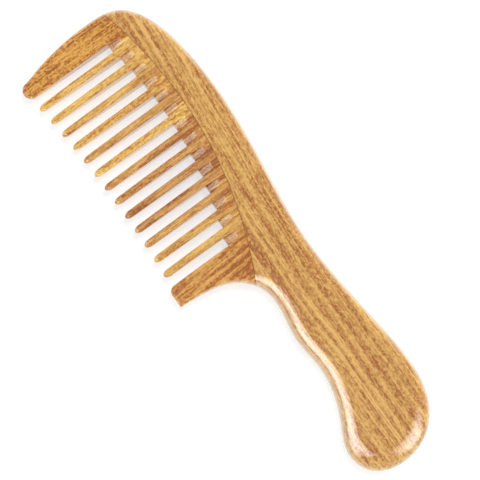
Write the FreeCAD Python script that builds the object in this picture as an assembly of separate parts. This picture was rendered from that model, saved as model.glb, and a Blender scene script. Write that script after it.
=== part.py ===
"""Wide tooth comb of glued wood: a spine and handle board over a plate of staves, one tooth to a stave.

Frame: millimetres.  +X runs from the head of the comb to the end of the handle, +Y from the tooth tips
to the back of the spine, +Z up.  The comb lies flat, and the origin is under the middle of its box.
"""
import FreeCAD, Part
import math
import os
from FreeCAD import Vector

os.makedirs("parts", exist_ok=True)

# Driving dimensions
BOARD = 10.0                    # thickness of the spine and handle
MID = BOARD / 2                 # the comb is the same above and below this height
HEAD_X = -100.0                 # outermost line of the head
END_X = 100.0                   # outermost line of the handle
BACK_Y = 29.9                   # highest line of the back
TIP_LINE_Y = -29.9              # lowest line, at the guard tooth

SEAM_CENTRE = Vector(-59.0, -144.4, 0)   # the glue line and the slot ends are arcs about this point
SEAM_RADIUS = 161.0
SEAM_HEAD_X = -99.7             # where the glue line leaves the board at the head
SEAM_NECK_X = 15.6              # and at the neck of the handle

TOOTH_COUNT = 13
SLOT_WIDTH = 3.35
SLOT_END_BELOW_SEAM = 7.6
FIRST_SLOT_X = -87.19
PITCH = 6.27                    # distance between the first two slots
PITCH_GROWTH = 0.01             # and what each later slot adds to it, times the slots before it

TIP_ARC_TOP = Vector(-39.8, -26.0, 0)    # shortest point of the arc that the tooth tips follow
TIP_ARC_RADIUS = 417.0
TOOTH_NARROWING = 0.15          # what each side of a tooth loses from root to tip
TIP_LENGTH = 2.4                # length of the rounded end of a tooth
TIP_THICKNESS = 3.2             # thickness of the tooth plate at the tips

EDGE_ROUNDING = 4.2             # spine and handle
TOOTH_ROUNDING = 0.9
END_STAVE_ROUNDING = 1.3        # guard and heel
PAST_THE_TIP = 0.5              # the taper runs on a little past the tips, clear of their round ends
GUARD_TIP_RADIUS = 3.2
HEEL_CORNER_RADIUS = 2.6

GULLY_RUN = 5.1                 # how far a slot's end runs out over each face
GULLY_SLOPE = math.radians(31)

TONGUE_HEIGHT = 3.5
TONGUE_THICKNESS = 3.4
GLUE_GAP = 0.1                  # free depth at the bottom of the groove
TONGUE_INSET = 5.0              # how far the groove stops short of the outside at each end


def seam_y(x, below=0.0):
    """Height of the arc that lies `below` millimetres inside the glue line."""
    radius = SEAM_RADIUS - below
    return SEAM_CENTRE.y + math.sqrt(radius ** 2 - (x - SEAM_CENTRE.x) ** 2)


def slot_x(number):
    """Middle of a slot; slot 0 is between the guard and the first tooth."""
    return FIRST_SLOT_X + PITCH * number + PITCH_GROWTH * number ** 2


def tip_y(x):
    """Height of the arc that the tooth tips follow."""
    drop = TIP_ARC_RADIUS - math.sqrt(TIP_ARC_RADIUS ** 2 - (x - TIP_ARC_TOP.x) ** 2)
    return TIP_ARC_TOP.y - drop


def at(x, y, z=0.0):
    return Vector(x, y, z)


def line(a, b):
    return Part.LineSegment(a, b).toShape()


def arc(a, middle, b):
    return Part.Arc(a, middle, b).toShape()


def curve(points, start_direction, end_direction):
    """Smooth curve through the points, leaving and arriving in the given unit directions."""
    spline = Part.BSplineCurve()
    spline.interpolate(Points=points, InitialTangent=start_direction, FinalTangent=end_direction,
                       Scale=False)
    return spline.toShape()


def seam_arc(x_from, x_to, below=0.0):
    """Arc about the seam's centre between two places along the comb."""
    x_middle = (x_from + x_to) / 2
    return arc(at(x_from, seam_y(x_from, below)),
               at(x_middle, seam_y(x_middle, below)),
               at(x_to, seam_y(x_to, below)))


def plate(edges, thickness=BOARD):
    """Flat plate of the given outline, centred on the middle plane."""
    face = Part.Face(Part.Wire(Part.__sortEdges__(edges)))
    face.translate(at(0, 0, -thickness / 2))
    return face.extrude(at(0, 0, thickness))


def round_edges(solid, radius, wanted, end_radius=None):
    """Round the edges whose middle point is wanted, to a radius that may change along each edge."""
    chosen = []
    for edge in solid.Edges:
        middle = edge.valueAt((edge.FirstParameter + edge.LastParameter) / 2)
        if wanted(middle):
            chosen.append(edge)
    if end_radius is None:
        return solid.makeFillet(radius, chosen)
    return solid.makeFillet(radius, end_radius, chosen)


# Board: spine and handle in one

NECK_DIRECTION = at(-0.82, -0.57)       # the outline's direction where it crosses the glue line
HEAD_DIRECTION = at(0.13, 0.99)

BACK_AND_HANDLE = [                     # over the back, round the end, under the grip to the neck
    at(SEAM_HEAD_X, seam_y(SEAM_HEAD_X)),
    at(-97.7, 17.3), at(-93.5, 21.8), at(-84.3, 26.2), at(-70.2, 29.0),
    at(-55.4, BACK_Y), at(-36.9, 29.1), at(-14.6, 26.4), at(7.6, 23.9),
    at(18.7, 23.7), at(37.2, 25.1), at(59.4, 27.5), at(72.4, 28.2),
    at(81.7, 27.0), at(89.1, 24.0), at(95.7, 18.2), at(99.2, 11.0),
    at(END_X, 4.0), at(98.8, -2.2), at(95.1, -7.7), at(89.1, -10.4),
    at(83.2, -10.1), at(74.3, -5.8), at(63.2, -1.6), at(53.9, -0.35),
    at(40.9, -1.3), at(26.1, 0.65), at(18.7, -0.2),
    at(SEAM_NECK_X, seam_y(SEAM_NECK_X)),
]


def on_seam(point):
    return abs(point.distanceToPoint(at(SEAM_CENTRE.x, SEAM_CENTRE.y, point.z)) - SEAM_RADIUS) < 0.2


def tongue_band(x_from, x_to, height, overlap=0.0):
    """Strip that follows the glue line, from `overlap` under it to `height` over it."""
    return plate([
        seam_arc(x_from, x_to, overlap),
        seam_arc(x_from, x_to, -height),
        line(at(x_from, seam_y(x_from, overlap)), at(x_from, seam_y(x_from, -height))),
        line(at(x_to, seam_y(x_to, overlap)), at(x_to, seam_y(x_to, -height))),
    ], TONGUE_THICKNESS)


def handle_spine():
    outline = curve(BACK_AND_HANDLE, HEAD_DIRECTION, NECK_DIRECTION)
    board = plate([outline, seam_arc(SEAM_HEAD_X, SEAM_NECK_X)])
    board = round_edges(board, EDGE_ROUNDING, lambda p: abs(p.z) > MID - 0.1 and not on_seam(p))
    groove = tongue_band(SEAM_HEAD_X + TONGUE_INSET, SEAM_NECK_X - TONGUE_INSET,
                         TONGUE_HEIGHT + GLUE_GAP, overlap=1.0)
    return board.cut(groove)


# Staves

def side_profile(x_from, x_to, y_start, y_tip):
    """Thickness of a stave seen from its side: flat to y_start, then falling to the tip's thickness."""
    y_end = y_tip - PAST_THE_TIP
    y_top = SEAM_CENTRE.y + SEAM_RADIUS + TONGUE_HEIGHT + 1
    half_tip = TIP_THICKNESS / 2
    upper = Part.BezierCurve()
    upper.setPoles([at(x_from, y_start, MID), at(x_from, (y_start + y_end) / 2, MID),
                    at(x_from, y_end, half_tip)])
    lower = Part.BezierCurve()
    lower.setPoles([at(x_from, y_start, -MID), at(x_from, (y_start + y_end) / 2, -MID),
                    at(x_from, y_end, -half_tip)])
    wire = Part.Wire([
        line(at(x_from, y_top, MID), at(x_from, y_start, MID)),
        upper.toShape(),
        line(at(x_from, y_end, half_tip), at(x_from, y_end, -half_tip)),
        lower.toShape(),
        line(at(x_from, y_start, -MID), at(x_from, y_top, -MID)),
        line(at(x_from, y_top, -MID), at(x_from, y_top, MID)),
    ])
    return Part.Face(wire).extrude(at(x_to - x_from, 0, 0))


def slot_end_y(number):
    return seam_y(slot_x(number), SLOT_END_BELOW_SEAM)


def gullies(number):
    """The two sloping hollows, one in each face, that lead out of a slot's end."""
    radius = SLOT_WIDTH / 2 - 0.05
    reach = 12.0
    along = at(0, math.cos(GULLY_SLOPE), math.sin(GULLY_SLOPE))
    across = at(0, -math.sin(GULLY_SLOPE), math.cos(GULLY_SLOPE))
    crossing = at(slot_x(number), slot_end_y(number) + GULLY_RUN - radius / math.sin(GULLY_SLOPE),
                  MID)
    start = crossing - along * reach / 2
    side = at(radius, 0, 0)
    face = Part.Face(Part.Wire([
        arc(start - side, start - across * radius, start + side),
        line(start + side, start + side + across * reach),
        line(start + side + across * reach, start - side + across * reach),
        line(start - side + across * reach, start - side),
    ]))
    upper = face.extrude(along * reach)
    lower = upper.mirror(at(0, 0, 0), at(0, 0, 1))
    return [upper, lower]


def tooth_stave(number):
    """Stave with one tooth; tooth 1 stands between slots 0 and 1."""
    left = number - 1
    right = number
    x_left = slot_x(left)
    x_right = slot_x(right)
    tooth_left = x_left + SLOT_WIDTH / 2
    tooth_right = x_right - SLOT_WIDTH / 2
    x_middle = (tooth_left + tooth_right) / 2
    y_tip = tip_y(x_middle)
    y_tip_start = y_tip + TIP_LENGTH
    y_root = max(slot_end_y(left), slot_end_y(right)) + 1.0
    profile = side_profile(x_left - 1, x_right + 1, min(seam_y(x_left), seam_y(x_right)), y_tip)

    tip_left = at(tooth_left + TOOTH_NARROWING, y_tip_start)
    tip_right = at(tooth_right - TOOTH_NARROWING, y_tip_start)
    tooth = plate([
        line(at(tooth_left, y_root), tip_left),
        curve([tip_left, at(x_middle, y_tip), tip_right], at(0, -1), at(0, 1)),
        line(tip_right, at(tooth_right, y_root)),
        line(at(tooth_right, y_root), at(tooth_left, y_root)),
    ]).common(profile)
    tooth = round_edges(tooth, TOOTH_ROUNDING, lambda p: p.y < y_root - 0.1 and abs(p.z) > TIP_THICKNESS / 4)

    root = plate([
        seam_arc(x_left, x_right),
        line(at(x_right, seam_y(x_right)), at(x_right, slot_end_y(right))),
        line(at(x_right, slot_end_y(right)), at(tooth_right, slot_end_y(right))),
        line(at(tooth_right, slot_end_y(right)), at(tooth_left, slot_end_y(left))),
        line(at(tooth_left, slot_end_y(left)), at(x_left, slot_end_y(left))),
        line(at(x_left, slot_end_y(left)), at(x_left, seam_y(x_left))),
    ]).common(profile)
    tongue = tongue_band(x_left, x_right, TONGUE_HEIGHT, overlap=1.0)
    stave = root.fuse([tooth, tongue]).removeSplitter()
    return stave.cut(gullies(left) + gullies(right))


def guard_stave():
    """Wide stave at the head, cut to a broad blunt tooth."""
    x_joint = slot_x(0)
    x_wall = x_joint - SLOT_WIDTH / 2
    y_end = slot_end_y(0)
    tip_middle = at(x_wall - GUARD_TIP_RADIUS, TIP_LINE_Y)
    tip_left = at(x_wall - 2 * GUARD_TIP_RADIUS, TIP_LINE_Y + GUARD_TIP_RADIUS)
    tip_right = at(x_wall, TIP_LINE_Y + GUARD_TIP_RADIUS)
    head = at(SEAM_HEAD_X, seam_y(SEAM_HEAD_X))
    outside = curve([head, at(HEAD_X, 5.0), at(-99.6, -4.9), at(-98.6, -12.3), at(-96.8, -21.0), tip_left],
                    HEAD_DIRECTION * -1, at(0.18, -0.98))
    blade = plate([
        outside,
        arc(tip_left, tip_middle, tip_right),
        line(tip_right, at(x_wall, y_end)),
        line(at(x_wall, y_end), at(x_joint, y_end)),
        line(at(x_joint, y_end), at(x_joint, seam_y(x_joint))),
        seam_arc(SEAM_HEAD_X, x_joint),
    ])
    blade = blade.common(side_profile(HEAD_X - 2, x_joint + 1, seam_y(SEAM_HEAD_X), TIP_LINE_Y))
    blade = round_edges(blade, EDGE_ROUNDING, lambda p: p.x < HEAD_X + 2 and abs(p.z) > 1 and not on_seam(p),
                        end_radius=END_STAVE_ROUNDING)
    tongue = tongue_band(SEAM_HEAD_X + TONGUE_INSET, x_joint, TONGUE_HEIGHT, overlap=1.0)
    return blade.fuse(tongue).removeSplitter().cut(gullies(0))


def heel_stave():
    """Wide stave beside the handle, with the hollow curved outside."""
    x_joint = slot_x(TOOTH_COUNT)
    x_wall = x_joint + SLOT_WIDTH / 2
    y_end = slot_end_y(TOOTH_COUNT)
    y_bottom = -28.9
    turn = HEEL_CORNER_RADIUS * (1 - math.sqrt(0.5))
    corner_start = at(x_wall, y_bottom + HEEL_CORNER_RADIUS)
    corner_middle = at(x_wall + turn, y_bottom + turn)
    corner_end = at(x_wall + HEEL_CORNER_RADIUS, y_bottom)
    outer_corner = at(5.8, y_bottom)
    neck = at(SEAM_NECK_X, seam_y(SEAM_NECK_X))
    hollow = curve([neck, at(12.0, -4.9), at(9.1, -9.4), at(7.3, -15.3), at(6.4, -21.2), outer_corner],
                   NECK_DIRECTION, at(-0.06, -1))
    blade = plate([
        hollow,
        line(outer_corner, corner_end),
        arc(corner_end, corner_middle, corner_start),
        line(corner_start, at(x_wall, y_end)),
        line(at(x_wall, y_end), at(x_joint, y_end)),
        line(at(x_joint, y_end), at(x_joint, seam_y(x_joint))),
        seam_arc(x_joint, SEAM_NECK_X),
    ])
    blade = blade.common(side_profile(x_joint - 1, SEAM_NECK_X + 2, seam_y(SEAM_NECK_X), y_bottom))
    blade = round_edges(blade, EDGE_ROUNDING, lambda p: p.x > 6.5 and abs(p.z) > 1 and not on_seam(p),
                        end_radius=END_STAVE_ROUNDING)
    tongue = tongue_band(x_joint, SEAM_NECK_X - TONGUE_INSET, TONGUE_HEIGHT, overlap=1.0)
    return blade.fuse(tongue).removeSplitter().cut(gullies(TOOTH_COUNT))


def write(name, shape):
    """Lay the piece on the ground plane and write it."""
    placed = shape.copy()
    placed.translate(at(0, 0, MID))
    box = placed.optimalBoundingBox()
    print(f"{name:18s} valid {placed.isValid()} solids {len(placed.Solids)} volume {placed.Volume:9.1f}"
          f" x {box.XMin:.2f}..{box.XMax:.2f} y {box.YMin:.2f}..{box.YMax:.2f} z {box.ZMin:.2f}..{box.ZMax:.2f}")
    placed.exportStep(f"parts/{name}.step")


write("handle_spine", handle_spine())
write("guard_stave", guard_stave())
for number in range(1, TOOTH_COUNT + 1):
    write(f"tooth_stave_{number:02d}", tooth_stave(number))
write("heel_stave", heel_stave())
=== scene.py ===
"""Looks of the wide tooth comb: polished wood on a pale floor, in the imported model's frame.

The shapes are worked out in millimetres with the middle of the board at z = 0, and placed in metres.
+X runs from the head to the end of the handle, +Y from the tooth tips to the back.
"""
import math

import bpy
import numpy as np
from mathutils import Matrix, Vector
from mathutils.geometry import delaunay_2d_cdt


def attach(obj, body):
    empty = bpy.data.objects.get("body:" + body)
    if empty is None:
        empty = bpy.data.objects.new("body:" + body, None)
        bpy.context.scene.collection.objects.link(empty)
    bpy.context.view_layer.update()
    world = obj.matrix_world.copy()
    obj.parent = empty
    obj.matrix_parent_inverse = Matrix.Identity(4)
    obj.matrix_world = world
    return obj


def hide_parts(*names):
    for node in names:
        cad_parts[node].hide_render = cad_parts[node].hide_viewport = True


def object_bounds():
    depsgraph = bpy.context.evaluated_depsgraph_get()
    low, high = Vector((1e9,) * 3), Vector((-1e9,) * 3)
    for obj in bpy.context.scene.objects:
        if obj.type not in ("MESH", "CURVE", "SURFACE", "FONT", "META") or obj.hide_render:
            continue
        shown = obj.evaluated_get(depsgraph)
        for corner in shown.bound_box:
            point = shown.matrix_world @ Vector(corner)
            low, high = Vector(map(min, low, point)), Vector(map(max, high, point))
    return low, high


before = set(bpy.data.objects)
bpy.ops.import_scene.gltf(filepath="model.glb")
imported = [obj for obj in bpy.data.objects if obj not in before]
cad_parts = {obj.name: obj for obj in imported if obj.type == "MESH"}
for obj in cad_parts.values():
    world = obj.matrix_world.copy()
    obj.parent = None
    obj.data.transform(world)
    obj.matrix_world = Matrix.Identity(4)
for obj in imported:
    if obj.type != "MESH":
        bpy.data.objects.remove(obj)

CAD_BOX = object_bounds()
MM = 0.001

# Driving dimensions in millimetres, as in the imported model
MID = 5.0                       # half the board's thickness
SEAM_CENTRE = np.array((-59.0, -144.4))
SEAM_RADIUS = 161.0
SEAM_HEAD_X = -99.7
SEAM_NECK_X = 15.6
TOOTH_COUNT = 13
SLOT_WIDTH = 3.35
SLOT_END_BELOW_SEAM = 7.6
FIRST_SLOT_X = -87.19
PITCH = 6.27
PITCH_GROWTH = 0.01
TIP_ARC_TOP = (-39.8, -26.0)
TIP_ARC_RADIUS = 417.0
TOOTH_NARROWING = 0.15
TIP_LENGTH = 2.4
TIP_THICKNESS = 3.2
EDGE_ROUNDING = 4.2
TOOTH_ROUNDING = 0.9
END_STAVE_ROUNDING = 1.3
GUARD_TIP_RADIUS = 3.2
GUARD_TIP_Y = -29.9
HEEL_CORNER_RADIUS = 2.6
HEEL_BOTTOM_Y = -28.9
HEEL_OUTER_X = 5.8
GULLY_RUN = 5.1
GULLY_SLOPE = math.radians(31)
GULLY_RADIUS = SLOT_WIDTH / 2 - 0.05      # a hair narrower than the slot
GULLY_BOW = 4.0                 # how square the gully's floor is: 2 would be half round

# Finish of the real surfaces
SEAM_GROOVE = 0.07              # how far the staves sink along the glue line under the board
STAVE_GROOVE = 0.05             # and along the joints between the staves
GROOVE_WIDTH = 0.15

# Where the outer edge is rounder or sharper than elsewhere
GRIP_FULLNESS = 1.3             # added to the rounding along the grip
HANDLE_END_FULLNESS = 3.6       # and round the end of the handle
HANDLE_END = (70, 97)           # x over which the rounding grows to that
GRIP_START = (12, 20)           # x over which the grip's rounding sets in
GRIP_TOP = (4, 12)              # y over which it fades out towards the back
GUARD_BEFORE_X = -90
HEEL_AFTER_X = 0

# Shape of the end staves and the tips
GUARD_ROOT_LENGTH = 5.0         # how far down the guard's outer side its root's rows spread
HEEL_ROOT_SHARE = 0.2           # the same for the heel, as a share of its outer side
HEEL_END_ROUNDING = 1.0         # the last stretch of the heel, where it gets thinner
HEEL_END_DROP = 0.9
TIP_PLAN_POWER = 1.9            # how blunt a tooth's tip is from above: 2 would be half an ellipse
TOOTH_TIP_FALL = (3, 0.45)      # a tip's height falls as (1 - share ** first) ** second
GUARD_TIP_FALL = (4, 0.4)
HEIGHT_FITS, WIDTH_FITS = 0.7, 0.8      # how much of a tip's height and half width its edge takes up
HEEL_HEIGHT_FITS = 0.6

# How finely the surfaces are divided
CURVE_STEP = 0.2
SHARP_ANGLE = math.radians(40)
RING_ANGLES = np.radians(np.linspace(0, 90, 15))
RING_POINTS = 440
RING_CLEARANCE = 4              # steps that stay free beside the glue line
SEAM_POINTS = 130
GRID_X, GRID_Y = (-96, 98), (-8, 30)
GRID_STEP = 2.0
GRID_CLEARANCE = 1.2            # square of the least distance from the grid to the flat's border
WALL_POINTS, FLOOR_POINTS, LIP_POINTS, TOP_POINTS = 4, 7, 5, 8
LIP_ANGLES = np.radians(np.linspace(0, 90, LIP_POINTS))
TOOTH_ROWS = 22
TOOTH_ROW_CROWDING = 1.15       # above 1, the rows lie closer together near the root
END_STAVE_ROWS = 26
HEEL_CORNER_ROWS = 12

# Rows of points across a stave's root, by height above the slot's end: close where the gully runs out
ROOT_RISES = (SLOT_END_BELOW_SEAM, SLOT_END_BELOW_SEAM - GROOVE_WIDTH, 6.6, 5.8, 5.3, 5.1, 5.05, 4.95,
              4.8, 4.6, 4.3, 4.0, 3.6, 3.2, 2.8, 2.4, 2.0, 1.6, 1.2, 0.8, 0.4, 0.0)
UNSTRETCHED_RISE = GULLY_RUN + 0.2
ROW_BEND_START = 2.0            # rows higher than this begin to follow the glue line

# Rows over a rounded tip, as shares of its length
TIP_SHARES = (0.16, 0.32, 0.47, 0.6, 0.71, 0.8, 0.87, 0.925, 0.965, 0.99)


def seam_y(x, below=0.0):
    """The y of the glue line under the board, or of an arc that far below it."""
    radius = SEAM_RADIUS - below
    return SEAM_CENTRE[1] + np.sqrt(radius ** 2 - (x - SEAM_CENTRE[0]) ** 2)


def slot_x(number):
    """Middle of a slot, which is also the joint between two staves; the slots are numbered from 0."""
    return FIRST_SLOT_X + PITCH * number + PITCH_GROWTH * number ** 2


def slot_end_y(number):
    """The y where a slot ends, below the glue line."""
    return seam_y(slot_x(number), SLOT_END_BELOW_SEAM)


def tip_y(x):
    """The y of the shallow arc that the tips lie on."""
    drop = TIP_ARC_RADIUS - math.sqrt(TIP_ARC_RADIUS ** 2 - (x - TIP_ARC_TOP[0]) ** 2)
    return TIP_ARC_TOP[1] - drop


def smooth_step(value, low, high):
    """From 0 at low to 1 at high, leaving and arriving level."""
    t = np.clip((value - low) / (high - low), 0.0, 1.0)
    return t * t * (3 - 2 * t)


def curve(points, start, end):
    """Smooth curve through the points, leaving and arriving in the given unit directions."""
    points = np.array(points, float)
    count = len(points)
    knots = np.concatenate(([0.0], np.cumsum(np.linalg.norm(np.diff(points, axis=0), axis=1))))
    gaps = np.diff(knots)
    matrix = np.zeros((count, count))
    right = np.zeros((count, 2))
    matrix[0, 0] = matrix[-1, -1] = 1.0
    right[0] = start
    right[-1] = end
    for i in range(1, count - 1):
        before, after = gaps[i - 1], gaps[i]
        matrix[i, i - 1:i + 2] = after, 2 * (before + after), before
        right[i] = 3 * (after * (points[i] - points[i - 1]) / before
                        + before * (points[i + 1] - points[i]) / after)
    slopes = np.linalg.solve(matrix, right)
    where = np.linspace(0, knots[-1], int(knots[-1] / CURVE_STEP) + 2)
    piece = np.clip(np.searchsorted(knots, where, side="right") - 1, 0, count - 2)
    gap = gaps[piece][:, None]
    t = ((where - knots[piece]) / gaps[piece])[:, None]
    return ((1 + 2 * t) * (1 - t) ** 2 * points[piece] + t * (1 - t) ** 2 * gap * slopes[piece]
            + t * t * (3 - 2 * t) * points[piece + 1] + t * t * (t - 1) * gap * slopes[piece + 1])


# The outer edge, all the way from the guard's tip round the back and the handle to the heel

# Directions in which the outline crosses the glue line, at the head and at the neck
HEAD_DIRECTION = np.array((0.13, 0.99))
NECK_DIRECTION = np.array((-0.82, -0.57))
GUARD_TIP_X = slot_x(0) - SLOT_WIDTH / 2 - GUARD_TIP_RADIUS

GUARD_SIDE = curve([
    (SEAM_HEAD_X, seam_y(SEAM_HEAD_X)), (-100.0, 5.0), (-99.6, -4.9), (-98.6, -12.3), (-96.8, -21.0),
    (GUARD_TIP_X - GUARD_TIP_RADIUS, GUARD_TIP_Y + GUARD_TIP_RADIUS)], -HEAD_DIRECTION, (0.18, -0.98))
BACK_AND_HANDLE = curve([
    (SEAM_HEAD_X, seam_y(SEAM_HEAD_X)), (-97.7, 17.3), (-93.5, 21.8), (-84.3, 26.2), (-70.2, 29.0),
    (-55.4, 29.9), (-36.9, 29.1), (-14.6, 26.4), (7.6, 23.9), (18.7, 23.7), (37.2, 25.1), (59.4, 27.5),
    (72.4, 28.2), (81.7, 27.0), (89.1, 24.0), (95.7, 18.2), (99.2, 11.0), (100.0, 4.0), (98.8, -2.2),
    (95.1, -7.7), (89.1, -10.4), (83.2, -10.1), (74.3, -5.8), (63.2, -1.6), (53.9, -0.35), (40.9, -1.3),
    (26.1, 0.65), (18.7, -0.2), (SEAM_NECK_X, seam_y(SEAM_NECK_X))], HEAD_DIRECTION, NECK_DIRECTION)
HEEL_SIDE = curve([
    (SEAM_NECK_X, seam_y(SEAM_NECK_X)), (12.0, -4.9), (9.1, -9.4), (7.3, -15.3), (6.4, -21.2),
    (HEEL_OUTER_X, HEEL_BOTTOM_Y)], NECK_DIRECTION, (-0.06, -1.0))


def outline_radius(points):
    """Width of the rounding along the outer edge: thinner on the end staves, fuller round the handle."""
    x, y = points[:, 0], points[:, 1]
    radius = np.full(len(points), EDGE_ROUNDING)
    seam_head, seam_neck = seam_y(SEAM_HEAD_X), seam_y(SEAM_NECK_X)
    down_guard = np.clip((seam_head - y) / (seam_head - GUARD_TIP_Y), 0, 1)
    down_heel = np.clip((seam_neck - y) / (seam_neck - HEEL_BOTTOM_Y), 0, 1)
    on_guard = x < GUARD_BEFORE_X
    on_heel = (x > HEEL_AFTER_X) & (x < SEAM_NECK_X + 0.01) & (y < seam_neck)
    radius = np.where(on_guard, radius + (END_STAVE_ROUNDING - radius) * down_guard, radius)
    radius = np.where(on_heel, radius + (END_STAVE_ROUNDING - radius) * down_heel, radius)
    at_end = smooth_step(x, *HANDLE_END)
    at_grip = smooth_step(x, *GRIP_START) * (1 - smooth_step(y, *GRIP_TOP)) * (1 - at_end)
    return radius + GRIP_FULLNESS * at_grip + HANDLE_END_FULLNESS * at_end


def inward(points):
    """Unit normals to the right of the way along the points, which is the inside here."""
    along = np.gradient(points, axis=0)
    along /= np.linalg.norm(along, axis=1)[:, None]
    return np.stack((along[:, 1], -along[:, 0]), axis=1)


def build(name, vertices, faces, material, nodes, slot):
    """One closed piece of the comb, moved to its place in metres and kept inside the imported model's box."""
    mesh = bpy.data.meshes.new(name)
    placed = np.clip((np.asarray(vertices, float) + (0, 0, MID)) * MM, *np.array(CAD_BOX))
    mesh.from_pydata(placed.tolist(), [], [list(map(int, f)) for f in faces])
    mesh.update()
    mesh.shade_smooth()
    mesh.set_sharp_from_angle(angle=SHARP_ANGLE)
    mesh.materials.append(material)
    piece = bpy.data.objects.new(name, mesh)
    bpy.context.scene.collection.objects.link(piece)
    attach(piece, "root")
    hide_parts(*nodes)


# Board: rings that follow the outer edge inward, then a flat middle

def ring_between_seams(points):
    """The stretch of a ring on the board's side of the glue line, always with the same number of points."""
    side = np.linalg.norm(points - SEAM_CENTRE, axis=1) - SEAM_RADIUS
    middle = len(points) // 2
    first = max(i for i in range(middle) if side[i] < 0)
    last = min(i for i in range(middle, len(points)) if side[i] < 0)
    start = first + side[first] / (side[first] - side[first + 1])
    end = last - 1 + side[last - 1] / (side[last - 1] - side[last])
    beside = GROOVE_WIDTH / CURVE_STEP
    between = np.linspace(start + RING_CLEARANCE, end - RING_CLEARANCE, RING_POINTS)
    where = np.concatenate(([start, start + beside], between, [end - beside, end]))
    index = np.arange(len(points))
    return np.stack([np.interp(where, index, points[:, i]) for i in (0, 1)], axis=1)


def board_rings():
    """Rings of points from the board's side wall over its rounded edge to the start of the flat."""
    outline = np.concatenate((GUARD_SIDE[::-1][:-1], BACK_AND_HANDLE[:-1], HEEL_SIDE))
    normals = inward(outline)
    radius = outline_radius(outline)[:, None]
    rings = []
    for angle in RING_ANGLES:
        ring = ring_between_seams(outline + normals * radius * (1 - math.cos(angle)))
        height = np.full(len(ring), MID - EDGE_ROUNDING + EDGE_ROUNDING * math.sin(angle))
        rings.append(np.column_stack((ring, height)))
    return rings


def flat_middle(border, plan, first_new):
    """Small triangles inside a border of known points: their faces, and the points that they add."""
    grid_x, grid_y = np.meshgrid(np.arange(*GRID_X, GRID_STEP), np.arange(*GRID_Y, GRID_STEP))
    spots = np.column_stack((grid_x.ravel(), grid_y.ravel()))
    apart = np.array([np.min(np.sum((plan - spot) ** 2, axis=1)) for spot in spots])
    points = [Vector(p) for p in plan] + [Vector(p) for p in spots[apart > GRID_CLEARANCE]]
    edges = [(i, (i + 1) % len(plan)) for i in range(len(plan))]
    out_points, _, out_faces, sources, _, _ = delaunay_2d_cdt(points, edges, [], 1, 1e-6)
    number = {}
    added = []
    for i, source in enumerate(sources):
        known = [s for s in source if s < len(plan)]
        if known:
            number[i] = border[known[0]]
        else:
            number[i] = first_new + len(added)
            added.append((out_points[i][0], out_points[i][1], MID))
    return [tuple(number[i] for i in face) for face in out_faces], added


def board_mesh():
    """The board: its rounded edge, a fine strip along the glue line, the flat, and the same below."""
    vertices = board_rings()
    count, n = len(vertices), len(vertices[0])
    faces = []
    for k in range(count - 1):
        for j in range(n - 1):
            a = k * n + j
            faces.append((a, a + 1, a + n + 1, a + n))

    # two lines of points along the glue line: one just inside it, one in it
    inner = vertices[-1]
    x_line = np.linspace(inner[-1][0], inner[0][0], SEAM_POINTS)[1:-1]
    m = len(x_line)
    vertices.append(np.column_stack((x_line, seam_y(x_line, -GROOVE_WIDTH), np.full(m, MID))))
    vertices.append(np.column_stack((x_line, seam_y(x_line), np.full(m, MID))))
    base = count * n
    last_ring = base - n
    near_chain = [last_ring + n - 2] + [base + i for i in range(m)] + [last_ring + 1]
    on_chain = [last_ring + n - 1] + [base + m + i for i in range(m)] + [last_ring]
    for a, b, c, d in zip(near_chain, near_chain[1:], on_chain[1:], on_chain):
        faces.append((b, a, d, c))

    border = [last_ring + j for j in range(1, n - 1)] + [base + i for i in range(m)]
    plan = np.concatenate(vertices)[border][:, :2]
    flat_faces, added = flat_middle(border, plan, base + 2 * m)
    top = np.concatenate(vertices + [np.array(added)])
    head_end = [k * n for k in range(count)]
    neck_end = [k * n + n - 1 for k in range(count)]
    return close_slab(top, faces + flat_faces, list(range(n)), head_end, neck_end, on_chain)


def close_slab(top, faces, rim, head_end, neck_end, seam):
    """The top, its mirror image below, and the walls between them along the rim and the glue line."""
    up = []
    for face in faces:
        a, b, c = (top[i] for i in face[:3])
        turn = (b[0] - a[0]) * (c[1] - a[1]) - (b[1] - a[1]) * (c[0] - a[0])
        up.append(face if turn > 0 else tuple(reversed(face)))
    keep = sorted({i for face in up for i in face})
    place = {old: new for new, old in enumerate(keep)}
    upper = top[keep]
    lower = upper * (1, 1, -1)
    count = len(keep)
    up = [tuple(place[i] for i in face) for face in up]
    down = [tuple(count + i for i in reversed(face)) for face in up]
    # the glue line's wall runs from the rim at the neck to the rim at the head
    seam_wall = neck_end[:-1] + seam + head_end[:-1][::-1]
    walls = []
    for chain in (rim, seam_wall):
        for a, b in zip(chain, chain[1:]):
            a, b = place[a], place[b]
            walls.append((a, b, count + b, count + a))
    return np.concatenate((upper, lower)), up + down + walls


# Staves: cross sections from the glue line down to the tip. Each side of a section's upper half has
# WALL_POINTS on the wall, FLOOR_POINTS on the gully's floor and LIP_POINTS on its rounded lip

JOINT_GAP = 0.04                # half the width of the fine line between two staves
JOINT_FLARE = 0.35              # how fast that line widens above the gully
JOINT_LIP = 0.1                 # width of the points beside that line
LIP_ROUNDING = 0.14             # rounding of the gully's lip where it runs out
LIP_FULLNESS = 0.45             # added to it at the slot's end
LIP_FADE = 3.5                  # height above the slot's end over which that fades
TOOTH_WALL_SHARE = 0.93         # how much of a tooth's wall the gully's points take up
LEAST_FACING = 0.4              # keeps a slanting row's side from growing too wide


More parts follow.
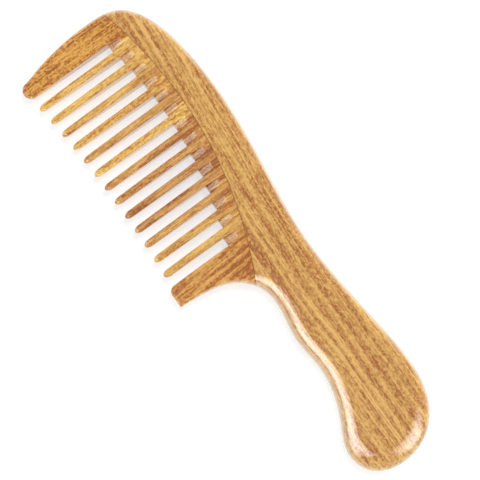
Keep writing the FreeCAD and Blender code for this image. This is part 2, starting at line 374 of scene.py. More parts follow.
def round_side(height, radius):
    """(distance in from the side, height) of a rounded outer edge, from the middle plane up."""
    wall = max(height - radius, 0.0)
    vertical = min(radius, height)
    angles = np.radians(np.linspace(0, 90, FLOOR_POINTS + LIP_POINTS + 1))[1:]
    u = np.concatenate((np.zeros(WALL_POINTS), radius * (1 - np.cos(angles))))
    z = np.concatenate((np.linspace(0, wall, WALL_POINTS), wall + vertical * np.sin(angles)))
    return u, z


def bowed(share):
    """Height of the gully's bow, from 1 in its middle to 0 at its edge."""
    return (1 - np.minimum(share, 1.0) ** GULLY_BOW) ** (1 / GULLY_BOW)


def gully_side(rise, top, groove):
    """The same for a joint between staves, `rise` above the slot's end, with half a gully in it."""
    straight = GULLY_RUN - GULLY_RADIUS / math.sin(GULLY_SLOPE)
    over = max(rise - straight, 0.0) * math.sin(GULLY_SLOPE)
    if rise > GULLY_RUN:
        edge = JOINT_GAP + JOINT_FLARE * (rise - GULLY_RUN)
        u_floor = edge * np.linspace(0, 1, FLOOR_POINTS)
        z_floor = np.full(FLOOR_POINTS, top)
        u_lip = edge + np.linspace(0, JOINT_LIP, LIP_POINTS)
        z_lip = np.full(LIP_POINTS, top)
    else:
        edge = max(GULLY_RADIUS * bowed(over / GULLY_RADIUS), JOINT_GAP)
        u_floor = edge * np.sin(np.radians(np.linspace(0, 90, FLOOR_POINTS)))
        depth = GULLY_RADIUS * bowed(u_floor / GULLY_RADIUS) / math.cos(GULLY_SLOPE)
        z_floor = top + (rise - straight) * math.tan(GULLY_SLOPE) - depth
        fullness = LIP_FULLNESS * (1 - smooth_step(rise, 0.0, LIP_FADE))
        lip = (LIP_ROUNDING + fullness) * edge / GULLY_RADIUS
        u_lip = edge + lip * (1 - np.cos(LIP_ANGLES))
        z_lip = top - lip + lip * np.sin(LIP_ANGLES)
        z_floor = np.minimum(z_floor, z_lip[0])
    z_floor[0] -= groove
    z_wall = np.linspace(0, z_floor[0], WALL_POINTS + 1)[:-1]
    u = np.concatenate((np.zeros(WALL_POINTS), u_floor, u_lip))
    z = np.concatenate((z_wall, z_floor, z_lip))
    return u, z


def slot_side(height, radius):
    """The same for a tooth's wall, with its points at the heights that the slot's end needs."""
    straight = WALL_POINTS + FLOOR_POINTS
    z = gully_side(0.0, MID, 0.0)[1][:straight]
    wall = height - radius
    z = np.concatenate((z / z[-1] * wall * TOOTH_WALL_SHARE, wall + radius * np.sin(LIP_ANGLES)))
    u = np.concatenate((np.zeros(straight), radius * (1 - np.cos(LIP_ANGLES))))
    return u, z


def section(x_left, x_right, y_at, height, left_side, right_side, sink=0.0):
    """Closed loop of points round a stave, cut along the line y_at(x) from side to side."""
    (u_left, z_left), (u_right, z_right) = left_side, right_side
    start, end = x_left + u_left[-1], x_right - u_right[-1]
    share = np.linspace(0, 1, TOP_POINTS + 2)[1:-1]
    x = np.concatenate((x_left + u_left, start + (end - start) * share, (x_right - u_right)[::-1]))
    z = np.concatenate((z_left, np.full(TOP_POINTS, height), z_right[::-1]))
    z = np.maximum(z - sink, 0.0)
    upper = np.column_stack((x, y_at(x), z))
    lower = (upper * (1, 1, -1))[-2:0:-1]
    return np.concatenate((upper, lower))


def straight_row(a, b):
    """The y along a straight row between two points, as a function of x."""
    return lambda x: a[1] + (b[1] - a[1]) * (x - a[0]) / (b[0] - a[0])


def level_row(y):
    """The same for a level row."""
    return lambda x: np.full(len(x), y)


def root_row(rise, left, right, wall_left, wall_right):
    """Row across a stave's root: square to the slots at their ends, on the glue line at the top."""
    share = smooth_step(rise, ROW_BEND_START, SLOT_END_BELOW_SEAM)
    seam_left, seam_right = seam_y(left[0]), seam_y(right[0])

    def y_at(x):
        chord = straight_row(left, right)(x)
        stepped = np.interp(x, (wall_left, wall_right), (left[1], right[1]))
        arc = seam_y(x) - straight_row((left[0], seam_left), (right[0], seam_right))(x)
        return (chord + arc) * share + stepped * (1 - share)
    return y_at


def lift(rise, x_joint, end):
    """The y of a root's row at a joint; the last rows stretch to meet the glue line."""
    if rise <= UNSTRETCHED_RISE:
        return end + rise
    share = (rise - UNSTRETCHED_RISE) / (SLOT_END_BELOW_SEAM - UNSTRETCHED_RISE)
    return end + UNSTRETCHED_RISE + share * (seam_y(x_joint) - end - UNSTRETCHED_RISE)


def sink_at(rise):
    """The row on the glue line lies a little lower, which leaves a fine line along the board."""
    return SEAM_GROOVE if rise == SLOT_END_BELOW_SEAM else 0.0


def loft(sections, tip=None):
    """Skin over the sections, closed at the start and brought to a point or a flat end."""
    size = len(sections[0])
    vertices = list(sections)
    faces = []
    for k in range(len(sections) - 1):
        for j in range(size):
            a, b = k * size + j, k * size + (j + 1) % size
            faces.append((b, a, a + size, b + size))
    count = len(sections) * size
    for start, flip in ((0, True), (count - size, False)):
        ring = sections[0] if start == 0 else sections[-1]
        centre = ring.mean(axis=0) if start == 0 or tip is None else np.array(tip)
        vertices.append(centre[None])
        for j in range(size):
            a, b = start + j, start + (j + 1) % size
            faces.append((a, b, count) if flip else (b, a, count))
        count += 1
    return np.concatenate(vertices), faces


def taper(y, y_start, y_tip):
    """Half the thickness: full down to the glue line's height, then falling to the tip."""
    t = np.clip((y_start - y) / (y_start - y_tip), 0, 1)
    return MID - (MID - TIP_THICKNESS / 2) * t * t


def tip_height(share, falling, full):
    """Half the thickness of a tip, a share of the way to its end."""
    power, bluntness = falling
    return full * (1 - share ** power) ** bluntness


def fitted(radius, height, half_width):
    """Rounding of an edge on the tip, made smaller where the tip gets thin or narrow."""
    return min(radius, height * HEIGHT_FITS, half_width * WIDTH_FITS)


def tooth_root(left, right, wall_left, wall_right, y_start, y_tip):
    """Sections of a stave from the glue line down to the slots' ends, with half a gully on each side."""
    x_left, x_right = slot_x(left), slot_x(right)
    sections = []
    for rise in ROOT_RISES:
        a = (x_left, lift(rise, x_left, slot_end_y(left)))
        b = (x_right, lift(rise, x_right, slot_end_y(right)))
        height = taper((a[1] + b[1]) / 2, y_start, y_tip)
        side = gully_side(rise, height, STAVE_GROOVE)
        row = root_row(rise, a, b, wall_left, wall_right)
        sections.append(section(x_left, x_right, row, height, side, side, sink_at(rise)))
    return sections


def tooth_mesh(number):
    """A stave with one tooth: its root, the tooth and the rounded tip."""
    left, right = number - 1, number
    wall_left, wall_right = slot_x(left) + SLOT_WIDTH / 2, slot_x(right) - SLOT_WIDTH / 2
    middle = (wall_left + wall_right) / 2
    y_tip = tip_y(middle)
    y_start = min(seam_y(slot_x(left)), seam_y(slot_x(right)))
    end_left, end_right = slot_end_y(left), slot_end_y(right)
    sections = tooth_root(left, right, wall_left, wall_right, y_start, y_tip)
    for t in np.linspace(0, 1, TOOTH_ROWS) ** TOOTH_ROW_CROWDING:
        narrow = TOOTH_NARROWING * t
        a = (wall_left + narrow, end_left + (y_tip + TIP_LENGTH - end_left) * t)
        b = (wall_right - narrow, end_right + (y_tip + TIP_LENGTH - end_right) * t)
        height = taper((a[1] + b[1]) / 2, y_start, y_tip)
        side = slot_side(height, TOOTH_ROUNDING)
        sections.append(section(a[0], b[0], straight_row(a, b), height, side, side))
    half_width = (wall_right - wall_left) / 2 - TOOTH_NARROWING
    for s in TIP_SHARES:
        y = y_tip + TIP_LENGTH * (1 - s)
        width = half_width * math.sqrt(1 - s ** TIP_PLAN_POWER)
        height = tip_height(s, TOOTH_TIP_FALL, taper(y, y_start, y_tip))
        side = slot_side(height, fitted(TOOTH_ROUNDING, height, width))
        sections.append(section(middle - width, middle + width, level_row(y), height, side, side))
    return loft(sections, tip=(middle, y_tip, 0.0))


def outer_side(point, normal, slope, height):
    """Rounded side of an end stave where a row of that slope meets the outer edge."""
    radius = outline_radius(np.array([point]))[0]
    u, z = round_side(height, radius)
    return u / max(abs(normal[0] + slope * normal[1]), LEAST_FACING), z


def guard_mesh():
    """The wide stave at the head, down to its blunt round tip."""
    x_joint = slot_x(0)
    x_wall = x_joint - SLOT_WIDTH / 2
    end = slot_end_y(0)
    y_start = seam_y(SEAM_HEAD_X)
    y_round = GUARD_TIP_Y + GUARD_TIP_RADIUS
    y_first = y_start - GUARD_ROOT_LENGTH
    edge = GUARD_SIDE[::-1]
    normals = inward(edge)
    sections = []

    def add(y_left, right, row_of, height, right_side, sink=0.0):
        x = np.interp(y_left, edge[:, 1], edge[:, 0])
        normal = [np.interp(y_left, edge[:, 1], normals[:, i]) for i in (0, 1)]
        y_at = row_of((x, y_left), right)
        slope = (y_at(np.array([x + 1.0])) - y_at(np.array([x])))[0]
        side = outer_side((x, y_left), normal, slope, height)
        sections.append(section(x, right[0], y_at, height, side, right_side, sink))

    for rise in ROOT_RISES:
        y_left = y_first + (y_start - y_first) * rise / SLOT_END_BELOW_SEAM
        right = (x_joint, lift(rise, x_joint, end))
        height = taper((y_left + right[1]) / 2, y_start, GUARD_TIP_Y)
        add(y_left, right, lambda a, b: root_row(rise, a, b, a[0], x_wall), height,
            gully_side(rise, height, STAVE_GROOVE), sink_at(rise))
    for t in np.linspace(0, 1, END_STAVE_ROWS):
        y_left = y_first + (y_round - y_first) * t
        right = (x_wall, end + (y_round - end) * t)
        height = taper((y_left + right[1]) / 2, y_start, GUARD_TIP_Y)
        add(y_left, right, straight_row, height, slot_side(height, TOOTH_ROUNDING))
    for s in TIP_SHARES:
        y = y_round - GUARD_TIP_RADIUS * s
        width = GUARD_TIP_RADIUS * math.sqrt(1 - s * s)
        height = tip_height(s, GUARD_TIP_FALL, taper(y, y_start, GUARD_TIP_Y))
        left = round_side(height, fitted(END_STAVE_ROUNDING, height, width))
        right = slot_side(height, fitted(TOOTH_ROUNDING, height, width))
        sections.append(section(GUARD_TIP_X - width, GUARD_TIP_X + width, level_row(y), height, left, right))
    return loft(sections, tip=(GUARD_TIP_X, GUARD_TIP_Y, 0.0))


def heel_mesh():
    """The wide stave beside the handle, down to its square end with one round corner."""
    x_joint = slot_x(TOOTH_COUNT)
    x_wall = x_joint + SLOT_WIDTH / 2
    end = slot_end_y(TOOTH_COUNT)
    y_start = seam_y(SEAM_NECK_X)
    lengths = np.concatenate(([0.0], np.cumsum(np.linalg.norm(np.diff(HEEL_SIDE, axis=0), axis=1))))
    normals = inward(HEEL_SIDE)
    sections = []

    def along_edge(share, values):
        return [np.interp(share * lengths[-1], lengths, values[:, i]) for i in (0, 1)]

    def add(left, share, row_of, height, left_side, sink=0.0):
        right = along_edge(share, HEEL_SIDE)
        y_at = row_of(left, right)
        slope = (y_at(np.array([right[0]])) - y_at(np.array([right[0] - 1.0])))[0]
        side = outer_side(right, along_edge(share, normals), slope, height)
        sections.append(section(left[0], right[0], y_at, height, left_side, side, sink))

    for rise in ROOT_RISES:
        left = (x_joint, lift(rise, x_joint, end))
        share = HEEL_ROOT_SHARE * (1 - rise / SLOT_END_BELOW_SEAM)
        height = taper((left[1] + along_edge(share, HEEL_SIDE)[1]) / 2, y_start, HEEL_BOTTOM_Y)
        add(left, share, lambda a, b: root_row(rise, a, b, x_wall, b[0]), height,
            gully_side(rise, height, STAVE_GROOVE), sink_at(rise))
    y_corner = HEEL_BOTTOM_Y + HEEL_CORNER_RADIUS
    stops = [end + (y_corner - end) * t for t in np.linspace(0, 1, END_STAVE_ROWS)]
    turns = np.radians(np.linspace(8, 90, HEEL_CORNER_ROWS))
    stops += [y_corner - HEEL_CORNER_RADIUS * math.sin(turn) for turn in turns]
    for y in stops:
        share = HEEL_ROOT_SHARE + (1 - HEEL_ROOT_SHARE) * (end - y) / (end - HEEL_BOTTOM_Y)
        below = max(y_corner - y, 0.0)
        corner = HEEL_CORNER_RADIUS - math.sqrt(max(HEEL_CORNER_RADIUS ** 2 - below ** 2, 0.0))
        height = taper((y + along_edge(share, HEEL_SIDE)[1]) / 2, y_start, HEEL_BOTTOM_Y)
        sunk = min(max(HEEL_BOTTOM_Y + HEEL_END_ROUNDING - y, 0.0) / HEEL_END_ROUNDING, 1.0)
        height -= HEEL_END_DROP * (1 - math.sqrt(1 - sunk * sunk))
        add((x_wall + corner, y), share, straight_row, height,
            slot_side(height, min(TOOTH_ROUNDING, height * HEEL_HEIGHT_FITS)))
    return loft(sections)


# Materials

def srgb(red, green, blue):
    """Linear colour, with alpha, from 0-255 display values."""
    def linear(value):
        value /= 255.0
        return value / 12.92 if value <= 0.04045 else ((value + 0.055) / 1.055) ** 2.4
    return (linear(red), linear(green), linear(blue), 1.0)


def tint(colour, factors):
    """The colour with its channels multiplied, with alpha."""
    return tuple(min(channel * factor, 1.0) for channel, factor in zip(colour, factors)) + (1.0,)


class Nodes:
    """A small helper that adds shader nodes and links them."""

    def __init__(self, name):
        self.material = bpy.data.materials.new(name)
        self.material.use_nodes = True
        self.tree = self.material.node_tree
        self.tree.nodes.clear()

    def add(self, kind, inputs=None, **settings):
        node = self.tree.nodes.new(kind)
        for key, value in settings.items():
            setattr(node, key, value)
        for key, value in (inputs or {}).items():
            socket = node.inputs[key]
            if isinstance(value, bpy.types.NodeSocket):
                self.tree.links.new(value, socket)
            else:
                socket.default_value = value
        return node

    def math(self, operation, *values, clamp=False):
        inputs = dict(enumerate(values))
        return self.add("ShaderNodeMath", inputs, operation=operation, use_clamp=clamp).outputs[0]

    def ramp(self, value, stops, interpolation="LINEAR"):
        node = self.add("ShaderNodeValToRGB", {"Fac": value})
        ramp = node.color_ramp
        ramp.interpolation = interpolation
        while len(ramp.elements) < len(stops):
            ramp.elements.new(0.5)
        for element, (position, colour) in zip(ramp.elements, stops):
            element.position = position
            element.color = colour
        return node.outputs["Color"]

    def mix(self, factor, a, b):
        """Colour a, or b where the factor is 1; 6, 7 and 2 are the node's colour sockets."""
        return self.add("ShaderNodeMix", {0: factor, 6: a, 7: b}, data_type="RGBA").outputs[2]

    def clip(self, value, low, high):
        return self.math("MAXIMUM", self.math("MINIMUM", value, high), low)

    def xyz(self, vector):
        return self.add("ShaderNodeSeparateXYZ", {0: vector}).outputs


# The board's main growth rings, by their y from under the grip to over the back
DARK_RINGS = (2, 6, 14, 17, 22)
LIGHT_RINGS = (4, 8, 11, 15, 20, 24)
RINGS_START, RINGS_END = -12, 32
DARK_RING, PLAIN_WOOD, LIGHT_RING = 0.33, 0.5, 0.68
GRAIN_CLIMB = 0.045             # towards the head the grain rises by twice this for each millimetre,
CLIMB_START_X = 15.0            # starting gently about here
CLIMB_SOFTNESS = 20.0

# Colours from the darkest lines to the brightest, as factors on the middle colour
WOOD_TONES = [
    (0.00, (0.62, 0.37, 0.31)), (0.20, (0.80, 0.62, 0.57)), (0.38, (0.91, 0.83, 0.81)),
    (0.53, (1.00, 1.00, 1.00)), (0.76, (1.15, 1.26, 1.25)), (1.00, (1.34, 1.50, 1.75))]
TONE_SHIFT = -0.04
PORE_TONE = (0.52, 0.32, 0.30)
# the next tone is painted reflection: the pale that rounded edges take for the white surroundings they
# reflect
RIM_REFLECTION_TONE = (1.16, 1.85, 4.8)
GLUE_TONE = (0.30, 0.13, 0.10)
PORE_COVER, RIM_REFLECTION_COVER, GLUE_COVER = 0.6, 0.75, 0.5       # how strongly these cover the wood

# Where they do: each is strength = slope * value + start, between 0 and 1
PORE_SLOPE, PORE_START = -7.0, -1.05
SIDEWAYS_SLOPE = -2.0
ROUNDED_SLOPE, ROUNDED_START = 1.3, 0.42
GLUE_SLOPE, GLUE_START = -6.0, 1.6

# Polish
BUMP_STRENGTH, BUMP_HEIGHT = 0.12, 0.05 * MM
SPECKLE_IN_BUMP = 0.5
ROUGHNESS, ROUGHNESS_CHANGE = 0.42, 0.25

# Noise for each kind of mark: waves per millimetre across the grain, the same along it, and a seed
WANDER = (0.08, 0.03, 3.0)
STAVE_BANDS = (0.42, 0.010, 11.0)
LONG_LINES = (0.62, 0.005, 17.0)
SOFT_LINES = (1.10, 0.030, 19.0)
BOARD_DASHES, STAVE_DASHES = (1.50, 0.11, 23.0), (1.50, 0.15, 23.0)
BOARD_SPECKLE, STAVE_SPECKLE = (1.35, 0.85, 29.0), (1.35, 0.80, 29.0)
CLOUDS = (0.10, 0.05, 37.0)
PORES = (1.45, 0.30, 41.0)
THREADS = (0.30, 0.005, 53.0)
OPEN_GRAIN = (3.5, 0.16, 23.0)

# How far the grain wanders, in millimetres
BOARD_WANDER, STAVE_WANDER = 3.0, 1.4

# How strongly each kind of mark changes the tone
BOARD_BAND_STRENGTH, STAVE_BAND_STRENGTH = 0.95, 1.3
LONG_LINE_STRENGTH, LONG_LINE_LIMIT = 1.9, 0.20
SOFT_LINE_STRENGTH = 0.45
DASH_STRENGTH = 0.66
SPECKLE_STRENGTH, SPECKLE_LIMIT = 1.9, 0.25
SPECKLE_ON_BLACK, SPECKLE_FALL = 1.55, 0.9      # it fades on lighter wood
CLOUD_STRENGTH = 0.35
THREAD_STRENGTH, THREAD_THINNESS = 0.52, 24.0
# painted shade in part: how much darker the staves get at the glue line, fading with distance
ROOT_SHADE, ROOT_SHADE_FALL = 0.30, 0.024       # at the glue line, and less with every millimetre


def ring_stops():
    """(place from 0 to 1, grey) of the growth rings across the board, lowest first."""
    rings = [(RINGS_START, PLAIN_WOOD), (RINGS_END, PLAIN_WOOD)]
    rings += [(y, DARK_RING) for y in DARK_RINGS]
    rings += [(y, LIGHT_RING) for y in LIGHT_RINGS]
    length = RINGS_END - RINGS_START
    return [((y - RINGS_START) / length, (light, light, light, 1.0)) for y, light in sorted(rings)]


class Grain(Nodes):
    """Noise that is stretched along the grain; places are in millimetres in the comb's frame."""

    def __init__(self, name, along, seed, slant):
        super().__init__(name)
        place = self.xyz(self.add("ShaderNodeTexCoord").outputs["Object"])
        self.x, self.y, self.z = (self.math("MULTIPLY", place[i], 1 / MM) for i in range(3))
        self.seed = seed
        if along == "X":
            left = self.math("SUBTRACT", CLIMB_START_X, self.x)
            root = self.math("SQRT", self.math("MULTIPLY_ADD", left, left, CLIMB_SOFTNESS ** 2))
            climb = self.math("MULTIPLY", self.math("ADD", root, left), GRAIN_CLIMB)
            self.run, self.across = self.x, self.math("SUBTRACT", self.y, climb)
        else:
            self.run, self.across = self.y, self.math("MULTIPLY_ADD", self.y, slant, self.x)

    def field(self, across_scale, run_scale, salt, detail=2.0, rough=0.55, depth=0.6, twist=0.0):
        """Noise about 0, with scales in waves per millimetre across the grain and along it."""
        vector = self.add("ShaderNodeCombineXYZ", {
            0: self.math("MULTIPLY", self.run, run_scale),
            1: self.math("MULTIPLY", self.across, across_scale),
            2: self.math("MULTIPLY_ADD", self.z, across_scale * depth, self.seed + salt)}).outputs[0]
        noise = self.add("ShaderNodeTexNoise", {
            "Vector": vector, "Scale": 1.0, "Detail": detail,
            "Roughness": rough, "Distortion": twist})
        return self.math("SUBTRACT", noise.outputs["Fac"], 0.5)

    def crisp(self, value, gain, limit):
        """The value made steeper and cut off on both sides, for lines with clear edges."""
        return self.clip(self.math("MULTIPLY", value, gain), -limit, limit)

    def wander(self, amount):
        """Let the grain wander sideways by up to about half this many millimetres."""
        drift = self.field(*WANDER, detail=1.0, depth=0.3)
        self.across = self.math("MULTIPLY_ADD", drift, amount, self.across)

    def from_seam(self):
        """Distance from the glue line under the board."""
        off_x = self.math("SUBTRACT", self.x, float(SEAM_CENTRE[0]))
        off_y = self.math("SUBTRACT", self.y, float(SEAM_CENTRE[1]))
        squares = self.math("MULTIPLY_ADD", off_x, off_x, self.math("MULTIPLY", off_y, off_y))
        return self.math("ABSOLUTE", self.math("SUBTRACT", self.math("SQRT", squares), SEAM_RADIUS))


def board_bands(n):
    """The board's growth rings, wandering a little about their places."""
    n.wander(BOARD_WANDER)
    above = n.math("SUBTRACT", n.across, RINGS_START)
    place = n.math("DIVIDE", above, RINGS_END - RINGS_START)
    bands = n.math("SUBTRACT", n.ramp(place, ring_stops(), "B_SPLINE"), PLAIN_WOOD)
    return n.math("MULTIPLY_ADD", bands, BOARD_BAND_STRENGTH, PLAIN_WOOD)


def stave_bands(n, streaks):
    """Random broad bands along a stave."""
    n.wander(STAVE_WANDER)
    return n.math("MULTIPLY_ADD", n.field(*STAVE_BANDS), STAVE_BAND_STRENGTH * streaks, PLAIN_WOOD)


def lines(n, tone, streaks):
    """Long crisp lines and softer shorter ones on top of the bands."""
    line = n.crisp(n.field(*LONG_LINES, detail=1.5), LONG_LINE_STRENGTH * streaks, LONG_LINE_LIMIT)
    tone = n.math("ADD", tone, line)
    return n.math("MULTIPLY_ADD", n.field(*SOFT_LINES, detail=0.0), SOFT_LINE_STRENGTH * streaks, tone)


def flecks(n, tone, figure, dashes, speckles):
    """Short dashes, speckle that shows more on dark wood, and clouds; the speckle is returned as well."""
    tone = n.math("MULTIPLY_ADD", n.field(*dashes, detail=0.5), DASH_STRENGTH, tone)
    field = n.field(*speckles, detail=1.0, rough=0.6, depth=1.0, twist=0.5)
    speckle = n.crisp(field, SPECKLE_STRENGTH, SPECKLE_LIMIT)
    strength = n.math("MULTIPLY_ADD", tone, -SPECKLE_FALL * figure, SPECKLE_ON_BLACK * figure)
    tone = n.math("MULTIPLY_ADD", speckle, strength, tone)
    return n.math("MULTIPLY_ADD", n.field(*CLOUDS, detail=1.0), CLOUD_STRENGTH, tone), speckle


def threads(n, tone, streaks):
    """Thin bright lines that follow the grain, where a slow noise crosses zero."""
    thread = n.math("ABSOLUTE", n.field(*THREADS, detail=1.0))
    thread = n.math("MULTIPLY_ADD", thread, -THREAD_THINNESS, 1.0, clamp=True)
    return n.math("MULTIPLY_ADD", thread, THREAD_STRENGTH * streaks, tone)


def darker_roots(n, tone, away, streaks):
    """Staves are darker towards the glue line: partly their wood, partly painted shade for the dimmer light
    at their roots.
    """
    shade = n.math("MULTIPLY_ADD", away, ROOT_SHADE_FALL * streaks, -ROOT_SHADE * streaks)
    return n.math("ADD", tone, n.math("MINIMUM", shade, 0.0))


def pores(n, colour, base):
    """Short dark dashes along the grain, where a noise is well below zero."""
    pore = n.math("MULTIPLY_ADD", n.field(*PORES, detail=0.0), PORE_SLOPE, PORE_START, clamp=True)
    return n.mix(n.math("MULTIPLY", pore, PORE_COVER), colour, tint(base, PORE_TONE))


def painted_rim_reflection(n, colour, base, painted_rim_reach):
    """Painted reflection: paler wood where the surface turns away from the flat, most of all on the rounded
    edges, for the white that they reflect.
    """
    level = n.math("ABSOLUTE", n.xyz(n.add("ShaderNodeNewGeometry").outputs["Normal"])[2])
    sideways = n.math("MULTIPLY_ADD", level, SIDEWAYS_SLOPE, painted_rim_reach, clamp=True)
    rounded = n.math("MULTIPLY_ADD", level, ROUNDED_SLOPE, ROUNDED_START, clamp=True)
    # painted reflection: strongest on faces tilted part way between the flat and the side
    painted_rim_share = n.math("MULTIPLY", rounded, sideways)
    return n.mix(n.math("MULTIPLY", painted_rim_share, RIM_REFLECTION_COVER), colour, tint(base, RIM_REFLECTION_TONE))


def glue_line(n, colour, base, away):
    """Dark line of glue along the seam, about a quarter of a millimetre on each side of it."""
    glue = n.math("MULTIPLY_ADD", away, GLUE_SLOPE, GLUE_START, clamp=True)
    return n.mix(n.math("MULTIPLY", glue, GLUE_COVER), colour, tint(base, GLUE_TONE))


def polish(n, colour, speckle):
    """Clear gloss coat over fine open grain."""
    grain = n.math("MULTIPLY_ADD", speckle, SPECKLE_IN_BUMP, n.field(*OPEN_GRAIN))
    bump = n.add("ShaderNodeBump", {
        "Height": grain, "Strength": BUMP_STRENGTH, "Distance": BUMP_HEIGHT})
    rough = n.math("MULTIPLY_ADD", grain, ROUGHNESS_CHANGE, ROUGHNESS)
    shader = n.add("ShaderNodeBsdfPrincipled", {
        "Base Color": colour, "Roughness": rough, "Normal": bump.outputs[0], "Specular IOR Level": 0.12,
        "Coat Weight": 1.0, "Coat Roughness": 0.06, "Coat IOR": 1.5,
        "Sheen Weight": 0.25, "Sheen Roughness": 0.4})
    n.add("ShaderNodeOutputMaterial", {"Surface": shader.outputs[0]})


def wood(name, along, middle, seed, streaks=1.0, figure=1.0, slant=0.0, painted_rim_reach=1.5):
    """Polished wood with its grain along one axis, darker and lighter about the middle colour.

    Streaks and figure are the strengths of the lines and of the speckle, slant turns the grain, and a
    larger painted_rim_reach spreads the painted reflection over more of the edges.
    """
    n = Grain(name, along, seed, slant)
    away = n.from_seam()
    tone = board_bands(n) if along == "X" else stave_bands(n, streaks)
    tone = lines(n, tone, streaks)
    marks = (BOARD_DASHES, BOARD_SPECKLE) if along == "X" else (STAVE_DASHES, STAVE_SPECKLE)
    tone, speckle = flecks(n, tone, figure, *marks)
    tone = n.math("ADD", threads(n, tone, streaks), TONE_SHIFT)
    if along == "Y":
        tone = darker_roots(n, tone, away, streaks)
    base = srgb(*middle)
    colour = n.ramp(n.clip(tone, 0.0, 1.0), [(at, tint(base, factors)) for at, factors in WOOD_TONES])
    colour = pores(n, colour, base)
    colour = painted_rim_reflection(n, colour, base, painted_rim_reach)
    colour = glue_line(n, colour, base, away)
    polish(n, colour, speckle)
    return n.material


# Staves come in four tones of wood, and the board, the guard and the heel have their own
PALE, GOLDEN, AMBER, BROWN = (235, 186, 98), (222, 170, 90), (212, 156, 85), (198, 139, 75)
BOARD_TONE, GUARD_TONE, HEEL_TONE = (209, 156, 84), (212, 150, 68), (212, 152, 76)

# Each tooth's wood: slot name, which build() takes but doesn't use, tone, strength of its streaks, strength
# of its speckled figure
TOOTH_WOODS = [
    ("light", PALE, 0.9, 0.8), ("light", PALE, 0.5, 0.9), ("amber", GOLDEN, 0.8, 0.8),
    ("light", PALE, 0.5, 1.0), ("brown", AMBER, 1.1, 0.8), ("light", PALE, 0.6, 1.2),
    ("amber", AMBER, 1.0, 1.0), ("amber", AMBER, 0.9, 1.1), ("brown", BROWN, 1.2, 0.9),
    ("brown", BROWN, 1.3, 0.9), ("amber", AMBER, 1.2, 0.8), ("light", GOLDEN, 1.0, 0.8),
    ("light", GOLDEN, 0.7, 0.8)]
TOOTH_MARKS = 0.85              # factor on both strengths


def tooth_wood(number, colour, streaks, figure):
    """Wood of one tooth's stave, with a seed of its own."""
    seed = 100.0 + 13.0 * number
    return wood(f"tooth_wood_{number:02d}", "Y", colour, seed, TOOTH_MARKS * streaks,
                TOOTH_MARKS * figure, painted_rim_reach=0.8)


board_wood = wood("board_wood", "X", BOARD_TONE, 0.0, painted_rim_reach=1.8)
guard_wood = wood("guard_wood", "Y", GUARD_TONE, 50.0, figure=1.5, painted_rim_reach=1.2)
heel_wood = wood("heel_wood", "Y", HEEL_TONE, 90.0, streaks=1.05, slant=0.07)
build("board", *board_mesh(), board_wood, ["handle_spine"], "board_wood")
build("guard", *guard_mesh(), guard_wood, ["guard_stave"], "amber_stave_wood")
build("heel", *heel_mesh(), heel_wood, ["heel_stave"], "brown_stave_wood")
for number, (tone, colour, streaks, figure) in enumerate(TOOTH_WOODS, start=1):
    build(f"tooth_{number:02d}", *tooth_mesh(number), tooth_wood(number, colour, streaks, figure),
          [f"tooth_stave_{number:02d}"], tone + "_stave_wood")


# Camera: nearly overhead, and turned so that the comb's head points up and left
PICTURE_UP = Vector((-0.809, 0.588, 0.0))
TARGET = Vector((-1.67, 3.56, MID)) * MM
ASIDE = Vector((31.0, -59.5, 0.0)) * MM
DISTANCE = 740 * MM
LENS = 149.76                   # on a sensor 36 mm wide


def camera():
    """The camera at the photograph's viewing angle."""
    data = bpy.data.cameras.new("camera")
    data.sensor_width = 36.0
    data.lens = LENS
    data.clip_start = 0.05
    data.clip_end = 20.0
    eye = bpy.data.objects.new("camera", data)
    eye.location = TARGET + ASIDE + Vector((0, 0, math.sqrt(DISTANCE ** 2 - ASIDE.length_squared)))
    back = (eye.location - TARGET).normalized()
    up = (PICTURE_UP - back * PICTURE_UP.dot(back)).normalized()
    eye.rotation_euler = Matrix((up.cross(back), up, back)).transposed().to_euler()
    bpy.context.scene.collection.objects.link(eye)
    bpy.context.scene.camera = eye


# Lights: sizes and places are in metres, from the point under the middle of the comb

CARD_TINT = (0.88, 0.94, 1.0)   # the cards for the grip and the handle's end are a cool white
CARD_SPREAD = math.radians(136)
NEAR = 0.9                      # distance of the low lights and most cards
SKY_STRENGTH = 0.495
FLOOR_SIZE = 12.0
FLOOR_GREY = (0.49, 0.49, 0.49, 1.0)
FLOOR_GLOW = (0.93, 0.97, 1.0, 1.0)
FLOOR_GLOW_STRENGTH = 0.66


def area_light(name, size, strength, shape="RECTANGLE"):
    """Area light, just as bright to look at whatever its size, and itself never in the picture."""
    data = bpy.data.lights.new(name, "AREA")
    data.shape = shape
    data.size, data.size_y = size
    area = size[0] * size[1] * (math.pi / 4 if shape == "ELLIPSE" else 1.0)
    data.energy = strength * area * math.pi
    lamp = bpy.data.objects.new(name, data)
    lamp.visible_camera = False
    bpy.context.scene.collection.objects.link(lamp)
    return lamp


def aim(lamp, direction, distance):
    """Place a light in a direction from the comb, and turn it to face the comb."""
    way = Vector(direction).normalized()
    side = Vector((0, 0, 1)).cross(way).normalized()
    lamp.location = way * distance
    lamp.rotation_euler = Matrix((side, way.cross(side), way)).transposed().to_euler()


def only_for(lamp, pieces):
    """Let a light reach the named pieces only."""
    group = bpy.data.collections.new(lamp.name + "_pieces")
    for piece in pieces:
        group.objects.link(bpy.data.objects[piece])
    lamp.light_linking.receiver_collection = group


def lighting(name, direction, distance, size, strength):
    """A light that lights the wood but doesn't show in its polish."""
    lamp = area_light(name, size, strength)
    aim(lamp, direction, distance)
    lamp.visible_glossy = False


def reflection(name, direction, distance, size, strength, pieces, shape="RECTANGLE"):
    """A card that shows only in the polish of the named pieces."""
    lamp = area_light(name, size, strength, shape)
    aim(lamp, direction, distance)
    lamp.visible_diffuse = False
    only_for(lamp, pieces)
    return lamp


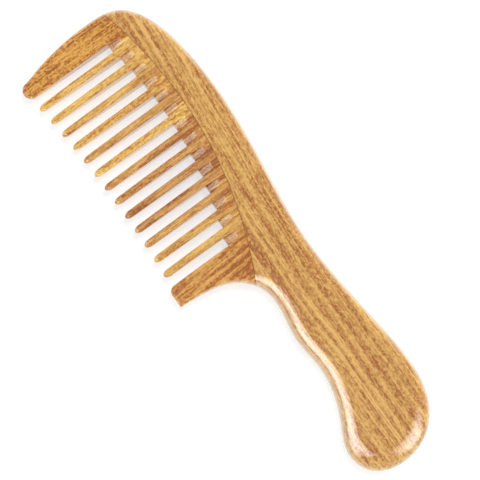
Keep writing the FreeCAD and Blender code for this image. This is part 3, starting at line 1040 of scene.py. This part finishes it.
def grip_cards():
    """Level cards over the grip, one inside the other, for a highlight that is softer at its edges."""
    for step, share in enumerate((0.72, 1.0, 1.28)):
        lamp = area_light(f"grip_card_{step}", (0.082 * share, 0.100 * share), 3.6)
        lamp.location = (0.055, -0.072, 0.060 + 0.0005 * step)
        lamp.data.spread = CARD_SPREAD
        lamp.data.color = CARD_TINT
        lamp.visible_diffuse = False
        only_for(lamp, ["board"])


def end_cards():
    """Oval cards, one inside the other, for the soft bright patch near the end of the handle."""
    for step, share in enumerate((0.45, 0.70, 0.95, 1.20)):
        lamp = reflection(f"end_card_{step}", (0.68, 0.31, 0.66), NEAR + 0.002 * step,
                          (0.42 * share, 0.80 * share), 2.7, ["board"], "ELLIPSE")
        lamp.data.color = CARD_TINT


def studio():
    """Even pale surroundings, a soft key light from above, low lights all round and the cards."""
    world = bpy.data.worlds.new("studio")
    bpy.context.scene.world = world
    world.use_nodes = True
    sky = world.node_tree.nodes["Background"]
    sky.inputs["Color"].default_value = (1.0, 1.0, 1.0, 1.0)
    sky.inputs["Strength"].default_value = SKY_STRENGTH
    lighting("key", (-0.18, 0.30, 1.0), 1.3, (0.38, 0.38), 10.5)
    lighting("low_light_front", (0.0, -0.98, 0.17), NEAR, (1.6, 0.30), 2.2)
    lighting("low_light_back", (0.0, 0.97, 0.24), NEAR, (1.6, 0.42), 2.3)
    lighting("low_light_end", (0.98, 0.0, 0.17), NEAR, (1.2, 0.30), 2.2)
    lighting("low_light_head", (-0.97, 0.0, 0.24), NEAR, (1.2, 0.42), 0.6)
    staves = ["guard", "heel"] + [f"tooth_{number:02d}" for number in range(1, TOOTH_COUNT + 1)]
    grip_cards()
    reflection("band_card", (0.0, -0.998, 0.06), NEAR, (1.6, 0.16), 3.0, ["board"])
    reflection("gully_card", (0.0, -0.857, 0.515), NEAR, (1.6, 0.28), 3.2, staves)
    reflection("tip_card", (0.12, -0.60, 0.79), NEAR, (0.16, 0.14), 22.0, staves)
    end_cards()


def floor():
    """Pale floor that glows a little by itself, like a light table, and still takes soft shadows."""
    half = FLOOR_SIZE / 2
    corners = [(-half, -half, 0), (half, -half, 0), (half, half, 0), (-half, half, 0)]
    mesh = bpy.data.meshes.new("floor")
    mesh.from_pydata(corners, [], [(0, 1, 2, 3)])
    piece = bpy.data.objects.new("floor", mesh)
    bpy.context.scene.collection.objects.link(piece)
    n = Nodes("floor_white")
    shader = n.add("ShaderNodeBsdfPrincipled", {
        "Base Color": FLOOR_GREY, "Roughness": 0.9, "Specular IOR Level": 0.0,
        "Emission Color": FLOOR_GLOW, "Emission Strength": FLOOR_GLOW_STRENGTH})
    n.add("ShaderNodeOutputMaterial", {"Surface": shader.outputs[0]})
    mesh.materials.append(n.material)


camera()
floor()
studio()
bpy.context.scene.view_settings.view_transform = "Standard"
